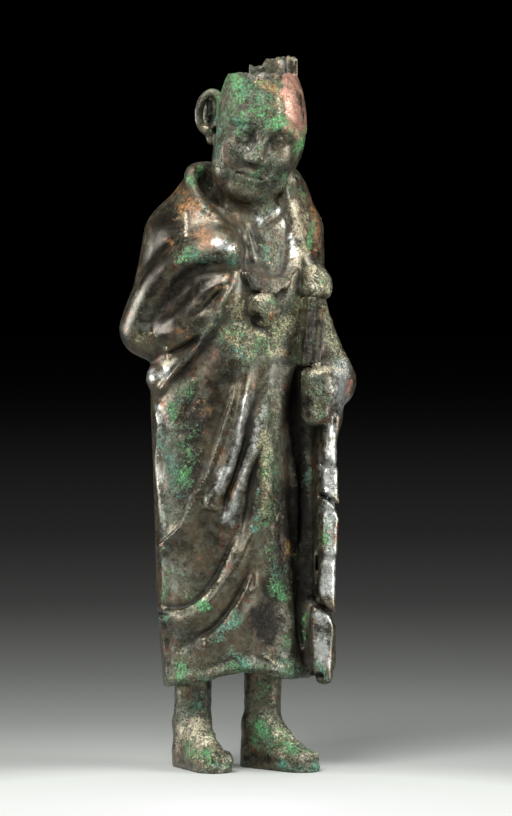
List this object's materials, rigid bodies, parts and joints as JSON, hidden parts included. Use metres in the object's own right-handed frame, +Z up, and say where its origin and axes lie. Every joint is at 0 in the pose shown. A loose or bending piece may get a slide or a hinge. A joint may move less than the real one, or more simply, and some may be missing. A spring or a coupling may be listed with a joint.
{
  "type": "hellenistic bronze figure",
  "caption": "Small standing figure in a long mantle, right arm slung across the chest in the cloth, writing tablets upright on the left arm, bald head broken open at the top; standing bronze.",
  "frame": {"origin": "centre of the bounding box at the height of the soles", "axes": "+Z up through the head, -Y towards the side the chest faces, +X towards the figure's left arm"},
  "size_m": [0.039, 0.0268, 0.1188],
  "materials": {
    "bronze": "cast bronze with a dark brown patina, green and red corrosion in places, worn to a gloss on the high parts"
  },
  "bodies": {
    "root": {"figure": "bronze"}
  },
  "joints": []
}
